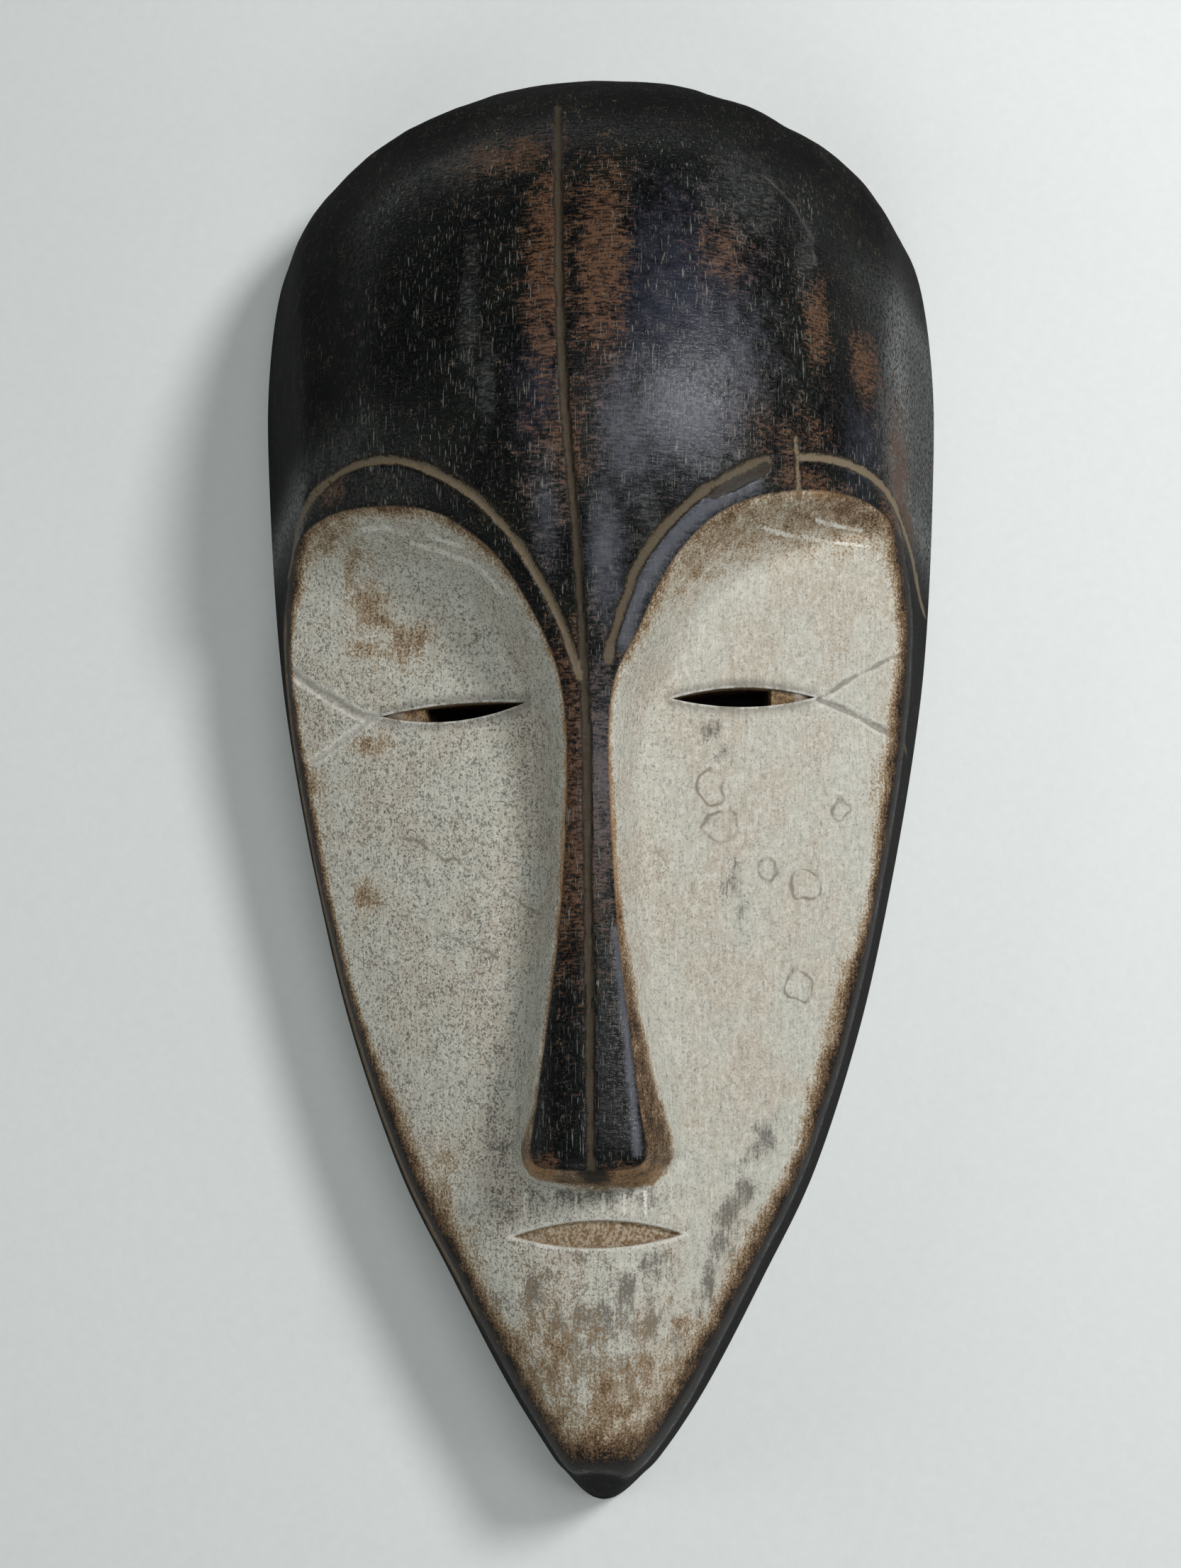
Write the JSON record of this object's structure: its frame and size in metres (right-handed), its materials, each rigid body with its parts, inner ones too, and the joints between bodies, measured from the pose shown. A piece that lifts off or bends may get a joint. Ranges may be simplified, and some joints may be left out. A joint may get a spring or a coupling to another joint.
{
  "type": "carved wooden face mask",
  "caption": "Long, narrow carved wooden face mask in the Fang style of Gabon: domed dark forehead, thin nose and pale sunken face with slit eyes, hollow behind a flat rim.",
  "frame": {"origin": "middle of the overall box, on the flat back rim", "axes": "+Y from the chin to the crown, +Z out of the face, +X to the right as the face is looked at; the mask lies on its back rim with the face up"},
  "size_m": [0.1681, 0.344, 0.0844],
  "materials": {
    "mask": "satin black stain with a matt white clay face"
  },
  "bodies": {
    "root": {"mask": "mask"}
  },
  "joints": []
}
